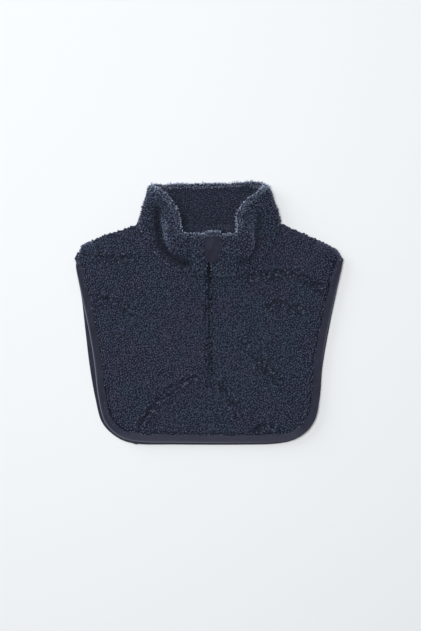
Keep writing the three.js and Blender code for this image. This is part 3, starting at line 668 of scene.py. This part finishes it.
class Nodes:
    """Short calls for a material's node tree."""

    def __init__(self, name):
        self.material = bpy.data.materials.new(name)
        self.material.use_nodes = True
        self.tree = self.material.node_tree
        self.shader = self.tree.nodes["Principled BSDF"]

    def add(self, kind, **settings):
        node = self.tree.nodes.new(kind)
        for key, value in settings.items():
            setattr(node, key, value)
        return node

    def link(self, output, socket):
        self.tree.links.new(output, socket)

    def set(self, node, **values):
        for key, value in values.items():
            node.inputs[key.replace("_", " ")].default_value = value
        return node

    def noise(self, scale, detail=2.0, roughness=0.5):
        place = self.add("ShaderNodeTexCoord")
        node = self.set(self.add("ShaderNodeTexNoise"), Scale=scale, Detail=detail, Roughness=roughness)
        self.link(place.outputs["Object"], node.inputs["Vector"])
        return node.outputs["Fac"]

    def mix(self, factor, a, b, blend="MIX"):
        node = self.add("ShaderNodeMix", data_type="RGBA", blend_type=blend)
        for socket, value in ((node.inputs[0], factor), (node.inputs[6], a), (node.inputs[7], b)):
            if isinstance(value, tuple):
                socket.default_value = (*value, 1.0)
            elif isinstance(value, (int, float)):
                socket.default_value = value
            else:
                self.link(value, socket)
        return node.outputs[2]

    def spread(self, value, low, high, to_low=0.0, to_high=1.0):
        node = self.add("ShaderNodeMapRange")
        self.set(node, From_Min=low, From_Max=high, To_Min=to_low, To_Max=to_high)
        self.link(value, node.inputs["Value"])
        return node.outputs["Result"]

    def bump(self, height, distance, strength=1.0):
        node = self.set(self.add("ShaderNodeBump"), Distance=distance, Strength=strength)
        self.link(height, node.inputs["Height"])
        self.link(node.outputs["Normal"], self.shader.inputs["Normal"])


def make_fleece():
    """Looped pile: painted shade deep between the tufts and low on each, pale at their tips, a painted
    highlight colour on the brightest-toned pile, in patches of slightly other tints.
    """
    nodes = Nodes("pile_fleece")
    tip = nodes.add("ShaderNodeAttribute", attribute_name="tip").outputs["Fac"]
    tone = nodes.add("ShaderNodeAttribute", attribute_name="tone").outputs["Fac"]
    patches = nodes.spread(nodes.noise(22.0, 3.0), 0.38, 0.62)
    tint = nodes.mix(patches, COLOURS["pile_warm"], COLOURS["pile_cool"])
    # Painted highlight: pile whose tone and painted light passes 1.5 turns towards a pale colour.
    highlight_share = nodes.spread(tone, 1.5, 2.6)
    tips = nodes.mix(highlight_share, nodes.mix(0.5, tint, COLOURS["pile_tip"]), COLOURS["pile_painted_highlight"])
    # The tip value paints shade: dark low on a tuft, lit near its top.
    colour = nodes.mix(tip, COLOURS["pile_painted_shade"], tips)
    # The tone carries random tone together with painted light and shade.
    nodes.link(nodes.mix(1.0, colour, tone, "MULTIPLY"), nodes.shader.inputs["Base Color"])
    nodes.set(nodes.shader, Roughness=0.92, Sheen_Weight=0.18, Sheen_Roughness=0.35,
              Sheen_Tint=(0.5, 0.62, 0.95, 1.0), Specular_IOR_Level=0.2)
    nodes.bump(nodes.noise(1500.0, 3.0, 0.6), 0.35 * MM, 0.8)
    return nodes.material


def make_woven(name, colour, threads_per_mm, sheen, fold_highlight_colour=None):
    """Smooth close-woven cloth: two crossing sets of fine threads, with faint uneven dye, and where a highlight
    colour is given, a painted highlight along the tape's fold.
    """
    nodes = Nodes(name)
    place = nodes.add("ShaderNodeTexCoord")
    heights = []
    for direction in ("DIAGONAL", "X"):
        wave = nodes.add("ShaderNodeTexWave", bands_direction=direction)
        nodes.set(wave, Scale=threads_per_mm * 1000 / 3.2, Distortion=0.6, Detail=1.0)
        nodes.link(place.outputs["Object"], wave.inputs["Vector"])
        heights.append(wave.outputs["Fac"])
    weave = nodes.mix(0.5, heights[0], heights[1])
    dye = nodes.spread(nodes.noise(60.0, 4.0), 0.3, 0.7, 0.82, 1.15)
    cloth = nodes.mix(1.0, colour, dye, "MULTIPLY")
    # Painted highlight, mixed in by the painted fold value.
    if fold_highlight_colour:
        fold = nodes.add("ShaderNodeAttribute", attribute_name="fold").outputs["Fac"]
        cloth = nodes.mix(fold, cloth, fold_highlight_colour)
    nodes.link(cloth, nodes.shader.inputs["Base Color"])
    nodes.set(nodes.shader, Roughness=0.85, Sheen_Weight=sheen, Sheen_Roughness=0.4,
              Sheen_Tint=(0.7, 0.72, 0.85, 1.0), Specular_IOR_Level=0.12)
    nodes.bump(weave, 0.12 * MM, 0.6)
    return nodes.material


def make_plain(name, colour, roughness, metallic=0.0):
    """A hard or thread-like finish with a faint grain in its gloss and colour."""
    nodes = Nodes(name)
    grains = nodes.noise(900.0)
    shade = nodes.spread(grains, 0.3, 0.7, 0.85, 1.15)
    nodes.link(nodes.mix(1.0, colour, shade, "MULTIPLY"), nodes.shader.inputs["Base Color"])
    gloss = nodes.spread(grains, 0.3, 0.7, roughness - 0.08, roughness + 0.08)
    nodes.link(gloss, nodes.shader.inputs["Roughness"])
    nodes.set(nodes.shader, Metallic=metallic, Specular_IOR_Level=0.15)
    nodes.bump(grains, 0.05 * MM, 0.4)
    return nodes.material


fleece_material = make_fleece()
tape_material = make_woven("binding_tape", COLOURS["tape"], 2.2, 0.1, COLOURS["tape_fold_highlight"])
flap_material = make_woven("flap_fabric", COLOURS["flap"], 2.6, 0.08)
chain_material = make_plain("zip_coil", COLOURS["chain"], 0.7)
slider_material = make_plain("slider_lacquer", COLOURS["chain"], 0.35, 0.7)

trees = {node: node_tree(node) for node in (*BODIES, "edge_binding", "zip_flap")}
tape_tree, flap_tree = trees["edge_binding"], trees["zip_flap"]

front_body = fleece_body("front_panel", "front_fleece")
back_body = fleece_body("back_panel", "back_fleece")
collar_body = fleece_body("collar", "collar_fleece")


def beside_zip(points):
    below, above = ZIP_BARE["past"]
    on_zip = (points[:, 1] > chain_low.y - below) & (points[:, 1] < chain_high.y + above)
    half = np.interp(points[:, 1] / MM, ZIP_BARE["y"], ZIP_BARE["half"]) * MM
    return on_zip & (np.abs(points[:, 0] - DRAWN_TO_FRAME[0]) < half)


front_edge = smooth_path(drawn([front for front, _ in EDGE]), 8 * MM)[0]


def front_keep(side):
    """Faces of the upper panel's outer side, on one side of the zip, clear of the tape and the zip."""
    def keep(points, ways):
        there = (ways[:, 2] > -0.25) & (np.sign(points[:, 0] - DRAWN_TO_FRAME[0]) == side)
        there &= ~beside_zip(points)
        there[there] &= away_from(points[there][:, :2], front_edge) > (TAPE["width"] - LIP_COVERED) * MM
        return there
    return keep


def back_keep(points, ways):
    there = ways[:, 2] < 0.2
    there[there] &= clear_of(tape_tree, points[there], BACK_CLEAR)
    return there


def back_inside_keep(points, ways):
    return (ways[:, 2] > 0.6) & (points[:, 1] > NECK["y_over"]) & (np.abs(points[:, 0]) < NECK["x_within"])


def collar_inner(points, ways):
    """Whether places on the collar are on its inner face."""
    high, side = points[:, 2] >= COLLAR_PARTS["front_over"], np.abs(points[:, 0]) > COLLAR_PARTS["fold_over"]
    folds = (np.abs(ways[:, 2]) <= 0.3) & (ways[:, 0] * points[:, 0] < 0) & side
    return (~high & (ways[:, 2] > 0.3)) | (high & (ways[:, 2] < -0.1)) | folds


def collar_keep(inside):
    def keep(points, ways):
        there = (collar_inner(points, ways) == inside) & ~beside_zip(points)
        there[there] &= clear_of(flap_tree, points[there], FLAP_CLEAR)
        return there
    return keep


def front_pile(name, scattered, seed):
    """The upper panel's pile: rougher near a crease, with painted shade in it, painted light on its ridges and
    slopes that face the window lamp, and painted shade in the collar's valley.
    """
    places = scattered[0]
    _, near, line = crease_field(places)
    # Painted light and shade: slopes of a crease that face the window lamp are brighter, and its middle darker.
    towards = np.append(unit(np.array(LAMPS["window"]["place"][:2])), 0) * MM
    facing = (crease_field(places + towards)[0] - crease_field(places - towards)[0]) / (2 * MM)
    light = 1 + CREASE_SHADE["facing"] * np.clip(facing, -1, 1)
    light *= 1 - CREASE_SHADE["line"] * line
    # Painted shade in the valley round the collar's front.
    light *= 1 - valley_field(places)[1]
    return pile(name, scattered, "front", seed, rough=near, light=light)


def collar_painted_light(places):
    """The collar's pile gets a painted highlight by its rim, and painted shade in the valley round its rolled
    front.
    """
    glow = 1 + GLOW["rim"] * fade(away_from(places, drawn(RIM)), GLOW["rim_reach"] * MM)
    return glow * (1 - valley_field(places)[1])


def tufts_over(path, across, ground, inset, taken, kind, seed):
    """Places for tufts along a joint, between the tufts that grow already, with their ways up.

    The path is in the drawing's millimetres, and across says how far to either side the tufts go. A place with
    no ground beneath it takes the height of the ground a few insets to one side or the other.
    """
    rng = np.random.default_rng(seed)
    line, travelled = smooth_path(drawn(path), 0.5 * MM)
    outward = left_of(line)
    spacing = PILE[kind]["spacing"] * MM
    search = search_among(taken)
    new = []
    tries = int(SATURATION * travelled[-1] * (across[1] - across[0]) * MM / spacing**2)
    for index, side in zip(rng.integers(0, len(line), tries), rng.uniform(*across, tries) * MM):
        spot = line[index] + outward[index] * side
        for step in (0, 1, -1, 2, -2, 3, -3, 4, -4):
            seen = top_at(ground, *(spot + outward[index] * inset * MM * step))
            if seen is not None:
                break
        if seen is not None and search.find((*spot, seen.z))[2] > spacing:
            new.append((*spot, seen.z))
    new = np.array(new)
    new = new[spaced(new, spacing)]
    return new, np.tile([0.0, 0.0, 1.0], (len(new), 1))


def joined(groups):
    """Several groups of places with their ways up as one."""
    return tuple(np.vstack(rows) for rows in zip(*groups))


def two_layers(scattered, under):
    """The places again a little lower and to the left, so that no light comes through between the tufts."""
    places, ways = scattered
    return joined([scattered, (places - np.array([0.5, 0, 1]) * under * MM, ways)])


on_left = grown(front_body, "front", front_keep(-1), 41)
on_right = grown(front_body, "front", front_keep(1), 42)
on_collar = grown(collar_body, "collar_outside", collar_keep(False), 45)
in_collar = grown(collar_body, "collar_inside", collar_keep(True), 46)
on_back_inside = grown(back_body, "back_inside", back_inside_keep, 44)
pile_left = front_pile("front_pile_left", on_left, 51)
pile_right = front_pile("front_pile_right", on_right, 52)
pile_back = pile("back_pile", grown(back_body, "back", back_keep, 43), "back", 53)
pile_back_inside = pile("back_pile_inside", on_back_inside, "back_inside", 54, ALONG_X)
pile_collar = pile("collar_pile", on_collar, "collar_outside", 55, light=collar_painted_light(on_collar[0]))
pile_collar_inside = pile("collar_pile_inside", in_collar, "collar_inside", 56, ALONG_X)

outside = np.vstack([on_left[0], on_right[0], on_collar[0]])
over_seam = tufts_over(SEAM, (-2.0, 3.5), trees["front_panel"], 1.2, outside, "seam", 49)
# The seam's pile takes the valley's painted shade.
pile_seam = pile("seam_pile", over_seam, "seam", 60, light=1 - valley_field(over_seam[0])[1])
inside = np.vstack([on_back_inside[0], in_collar[0]])
over_back_seam = tufts_over(BACK_SEAM, (-5.5, 3.0), trees["back_panel"], 1.0, inside, "back_seam", 50)
pile_back_seam = pile("back_seam_pile", two_layers(over_back_seam, 1.8), "back_seam", 61, ALONG_X)
over_zip = tufts_over(ZIP_PATH, (-3.4, 3.4), trees["front_panel"], 1.2, outside, "zip", 62)
clear_of_zip = ~beside_zip(over_zip[0])
pile_zip = pile("zip_pile", tuple(values[clear_of_zip] for values in over_zip), "zip", 63)


def tape_course():
    """The tape's course: places along its outer edge, with the ways into the cloth and up through the tape."""
    flats = {}
    for side, edge in zip(("front", "back"), zip(*EDGE)):
        path, travelled = smooth_path(edge, TAPE["step"])
        across = -left_of(path)
        for tip, from_tip in (("right", travelled), ("left", travelled[-1] - travelled)):
            turned = np.clip(1 - from_tip / TIP_REACH, 0, 1)[:, None] ** 1.5
            across = unit(across * (1 - turned) + TIP_FOLD[tip] * turned)
        flats[side] = (path, across)
    course = []

    def flat(side, z, up):
        path, ways = flats[side]
        ones = np.ones(len(path))
        rows = np.column_stack([path, ones * z]), np.column_stack([ways, ones * 0]), np.outer(ones, [0, 0, up])
        course.append([row[::up] for row in rows])

    def turn(tip, end, sign):
        middle_z, radius = (TAPE["front_z"] + TAPE["back_z"]) / 2, (TAPE["front_z"] - TAPE["back_z"]) / 2
        way = np.append(unit(TIP_FOLD[tip]), 0)
        outward = np.array([way[1], -way[0], 0]) * sign
        angles = math.pi * (0.5 - np.linspace(0, 1, 9)[1:-1])
        up = outward * np.cos(angles)[:, None] + np.array([0, 0, 1]) * np.sin(angles)[:, None]
        rounded = way * TIP_ROUNDED[tip] * np.cos(angles)[:, None]
        places = np.append(flats["front"][0][end], middle_z) + up * radius + rounded
        course.append([row[::-sign] for row in (places, np.tile(way, (len(angles), 1)), up)])

    flat("front", TAPE["front_z"], 1)
    turn("left", -1, -1)
    flat("back", TAPE["back_z"], -1)
    turn("right", 0, 1)
    places, across, ups = joined(course)
    return drawn(places), across, ups, len(flats["front"][0])


def outer_section():
    """The folded tape's outer face across its width, from one lip round the fold to the other."""
    half, width = TAPE["half"], TAPE["width"]
    nose = np.linspace(-math.pi / 2, math.pi / 2, 11)
    lower = [(width - 0.2, -half + 0.1), (width - 1.2, -half), (width * 0.62, -half), (width * 0.34, -half)]
    fold = [(half - half * math.cos(t), half * math.sin(t)) for t in nose]
    return lower + fold + [(x, -z) for x, z in lower[::-1]]


def inner_section():
    """The tape's inner face, which goes back from the second lip to the first."""
    width, half, inner = TAPE["width"], TAPE["half"], TAPE["half"] - TAPE["cloth"]
    upper = [(width, inner + 0.1), (width * 0.6, inner), (half, inner)]
    return [*upper, (TAPE["cloth"] * 1.2, 0), *((x, -z) for x, z in upper[::-1])]


def make_binding():
    """The tape round the edge: pulled in a little along its lips, and never quite straight."""
    places, across, ups, front_count = tape_course()
    outer = outer_section()
    section = np.array(outer + inner_section()) * MM
    travelled = travelled_along(places)
    at_lip = np.clip((section[:, 0] / MM - LIP[0]) / (LIP[1] - LIP[0]), 0, 1)
    pucker = waves(travelled[:, None], TAPE_PUCKER["over"] * MM, 61, 5) * TAPE_PUCKER["by"] * MM
    wander = waves(travelled[:, None], TAPE_WANDER["over"] * MM, 62, 5) * TAPE_WANDER["by"] * MM
    reach = section[None, :, 0] + wander[:, None] * at_lip[None]
    height = section[None, :, 1] + pucker[:, None] * (at_lip * np.sign(section[:, 1]))[None]
    from_lap = np.linalg.norm(places[:, :2] - drawn(TAPE_LAP["at"]), axis=1)
    reach -= (TAPE_LAP["out"] * MM * fade(from_lap, TAPE_LAP["half_width"] * MM) * (ups[:, 2] < 0))[:, None]
    points = places[:, None] + across[:, None] * reach[:, :, None] + ups[:, None] * height[:, :, None]
    points[:, :, 2] = np.maximum(points[:, :, 2], FLOOR_CLEAR)
    count, sides = len(places), len(section)
    faces = walls(count + 1, sides)[:, [0, 3, 2, 1]] % (count * sides)
    mesh = new_mesh("binding", points.reshape(-1, 3), faces)
    piece = piece_from("binding", mesh, tape_material, "edge_binding")
    # Painted highlight on the front tape's outer fold, and a faint one along the hem.
    way_round = np.clip(travelled / travelled[-1] * count / front_count, 0, 1)
    shine = np.interp(way_round, FOLD_SHINE["share"], FOLD_SHINE["shine"])
    shine *= np.arange(count) < front_count
    nose = fade(section[:, 0], TAPE["fold"] * MM) * (section[:, 1] > -0.5 * TAPE["half"] * MM)
    nose[len(outer):] = 0
    on_hem = np.clip((HEM_HIGHLIGHT["y"] - on_drawing(places)[:, 1]) / HEM_HIGHLIGHT["fade"], 0, 1)
    paint(piece, fold=(shine[:, None] * nose[None] + HEM_HIGHLIGHT["share"] * on_hem[:, None]).ravel())
    return piece


binding = make_binding()


def tip_keep(points, ways):
    """The upper tape near the shoulder tips and at the hem's left corner, where pile lies over it."""
    place = on_drawing(points)
    there = np.linalg.norm(place - PILE_ON_TAPE["at"], axis=1) < PILE_ON_TAPE["reach"]
    there[there] &= away_from(points[there][:, :2], front_edge) > PILE_ON_TAPE["free"] * MM
    for tip, side in ((TIP_LEFT, -1), (TIP_RIGHT, 1)):
        free = np.interp(place[:, 1], tip["y"], tip["x"])
        past = (place[:, 0] - tip["from_x"]) * side > 0
        there |= past & (place[:, 1] > tip["from_y"]) & ((free - place[:, 0]) * side > 0)
    return there & (ways[:, 2] > 0.3) & (points[:, 2] > 8 * MM)


def tip_corner(path, seed):
    """Rows of pile that round off the corner between a shoulder's fold and the tape's end."""
    rng = np.random.default_rng(seed)
    line, _ = smooth_path(drawn(path), TIP_CORNER["step"] * MM)
    outward = left_of(line)
    places, ways = [], []
    for z, reach, lean in TIP_CORNER["rows"]:
        wobble = rng.normal(0, TIP_CORNER["wobble"] * MM, line.shape)
        places.append(np.column_stack([line + outward * reach * MM + wobble, np.full(len(line), z * MM)]))
        ways.append(np.column_stack([outward, np.full(len(line), lean)]))
    return np.vstack(places), unit(np.vstack(ways))


tip_places = [grown(binding, "tip", tip_keep, 47)]
tip_places += [tip_corner(path, seed) for seed, path in enumerate(TIP_CORNER["paths"])]
for seed, path in enumerate(TIP_CORNER["paths"]):
    taken = np.vstack([outside, *(places for places, _ in tip_places)])
    closing = tufts_over(path, TIP_CORNER["band"], trees["front_panel"], 1.0, taken, "tip", 64 + seed)
    tip_places.append(two_layers(closing, TIP_CORNER["under"]))
all_tips = joined(tip_places)
pile_tips = pile("tip_pile", all_tips, "tip", 57, light=painted_tip_highlight(all_tips[0]))


def make_flap():
    """The smooth flap over the zip's end: soft-edged, with one slanting fold and a faint pucker."""
    mesh = remeshed("zip_flap", FLAP_BODY["voxel"], FLAP_BODY["smoothing"])
    points, normals = points_and_ways(mesh)
    from_fold = away_from(points[:, :2], drawn(FLAP_FOLD["path"]))
    ridge = FLAP_FOLD["height"] * MM * fade(from_fold, FLAP_FOLD["half"] * MM)
    pucker = FLAP_PUCKER["height"] * MM * waves(points, FLAP_PUCKER["over"] * MM, 71)
    from_right = (points[:, 0].max() - points[:, 0]) / MM - FLAP_GROOVE["inset"]
    groove = FLAP_GROOVE["depth"] * MM * fade(from_right, FLAP_GROOVE["half"])
    points += np.array([0, 0, 1.0]) * (ridge + pucker - groove)[:, None] * np.clip(normals[:, 2:] + 1, 0, 1)
    points[:, 1] -= FLAP_BODY["pressed"] * np.maximum(points[:, 1] - drawn((0, FLAP_TOP))[1], 0)
    move_to(mesh, points)
    return piece_from("flap", mesh, flap_material, "zip_flap")


flap = make_flap()


def rim_keep(points, ways):
    """The collar's free edge, but not under the flap."""
    there = away_from(points, drawn(RIM)) < RIM_WIDE * MM
    there[there] &= clear_of(flap_tree, points[there], FLAP_CLEAR)
    return there


def flap_top_keep(points, ways):
    """The flap's fold over the collar's rim, where the rim's pile lies over it."""
    past = on_drawing(points)[:, 1] - FLAP_TOP
    there = (past > -FLAP_TOP_BAND[0]) & (past < FLAP_TOP_BAND[1])
    return there & (points[:, 2] > 40 * MM) & (ways[:, 2] > -0.2)


all_rim = joined([grown(collar_body, "rim", rim_keep, 48), grown(flap, "rim", flap_top_keep, 66)])
# Painted highlight along the collar's rim.
rim_light = np.interp(on_drawing(all_rim[0])[:, 1], RIM_LIGHT["y"], RIM_LIGHT["light"])
pile_rim = pile("rim_pile", all_rim, "rim", 58, light=rim_light)


def zip_line():
    """The zip's middle line over the chest and up the collar, from its lower end to the slider."""
    tree = node_tree("zip_chain")
    upward = np.arange(chain_low.y + 0.5 * MM, chain_high.y - 0.5 * MM, 1.0 * MM)
    tops = [top_at(tree, DRAWN_TO_FRAME[0], y) for y in upward]
    return np.array([[DRAWN_TO_FRAME[0], top.y, top.z] for top in tops if top is not None])


def make_zip():
    """The zip's woven tape in the slit, and its coil: hooks from both sides that meet in the middle."""
    line = zip_line()
    travelled = travelled_along(line)
    up = np.cross(ALONG_X, unit(np.gradient(line, axis=0)))
    points = np.stack([line + np.array([x, 0, 0]) * MM + up * z * MM for x, z in ZIP_TAPE], 1)
    count, sides = len(line), len(ZIP_TAPE)
    ends = [list(range(sides))[::-1], list(range((count - 1) * sides, count * sides))]
    mesh = bpy.data.meshes.new("zip_tape")
    mesh.from_pydata(points.reshape(-1, 3).tolist(), [], walls(count, sides).tolist() + ends)
    piece_from("zip_tape", mesh, chain_material, "zip_chain", smooth=False)
    at = np.arange(2 * ZIP_PITCH, travelled[-1] - ZIP_PITCH, ZIP_PITCH)
    centres, ways = (np.stack([np.interp(at, travelled, row) for row in rows.T], 1) for rows in (line, up))
    ways = unit(ways)
    sign = np.where(np.arange(len(at)) % 2 == 0, 1.0, -1.0)
    reach, rise, radius = (np.array(ZIP_HOOK[size]) * MM for size in ("reach", "rise", "radius"))
    lines = centres[:, None] + ways[:, None] * rise[:, None]
    lines = lines + ALONG_X * (sign[:, None] * reach)[:, :, None]
    radii = np.broadcast_to(radius, lines.shape[:2])
    ups = np.broadcast_to(ways[:, None], lines.shape)
    coil = new_mesh("zip_coil", *tubes(lines, radii, ups, ZIP_HOOK["sides"]))
    piece_from("zip_coil", coil, chain_material)


make_zip()

# The slider keeps its solid, which the flap hides
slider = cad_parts["zip_slider"]
slider.data.materials.clear()
slider.data.materials.append(slider_material)


def make_floor():
    nodes = Nodes("pale_floor")
    nodes.set(nodes.shader, Base_Color=(*COLOURS["floor"], 1.0), Roughness=0.9, Specular_IOR_Level=0.2)
    corners = np.array([(-1, -1, 0), (1, -1, 0), (1, 1, 0), (-1, 1, 0)]) * FLOOR_REACH
    mesh = new_mesh("floor", corners, np.array([(0, 1, 2, 3)]))
    mesh.materials.append(nodes.material)
    placed("floor", mesh)


def add_lamp(name, place, size, power, colour):
    """A round lamp that faces the middle of the floor."""
    data = bpy.data.lights.new(name, "AREA")
    data.shape = "DISK"
    data.size = size
    data.energy = power
    data.color = colour
    lamp = placed(name, data)
    lamp.location = place
    lamp.rotation_euler = (-Vector(place)).to_track_quat("-Z", "Y").to_euler()


def make_light():
    """Soft studio light: a broad lamp overhead, a wide window at the upper left and a faint pale surround."""
    world = bpy.data.worlds.new("studio")
    bpy.context.scene.world = world
    world.use_nodes = True
    background = world.node_tree.nodes["Background"].inputs
    background["Color"].default_value = SURROUND["colour"]
    background["Strength"].default_value = SURROUND["strength"]
    for name, lamp in LAMPS.items():
        add_lamp(name, **lamp)
    bpy.context.scene.view_settings.view_transform = "Standard"


def make_camera():
    """Straight above, with the photo's scale at the floor and the object at the photo's place."""
    metres_per_pixel = PHOTO["mm_per_pixel"] * MM
    data = bpy.data.cameras.new("camera")
    data.sensor_width = SENSOR_WIDTH
    data.lens = SENSOR_WIDTH * CAMERA_HEIGHT / (PHOTO["height"] * metres_per_pixel)
    camera = placed("camera", data)
    right_of_middle = (PHOTO["width"] / 2 - PHOTO["middle_x"]) * metres_per_pixel
    above_middle = (PHOTO["middle_y"] - PHOTO["height"] / 2) * metres_per_pixel
    camera.location = (right_of_middle, above_middle, CAMERA_HEIGHT)
    bpy.context.scene.camera = camera


make_floor()
make_light()
make_camera()
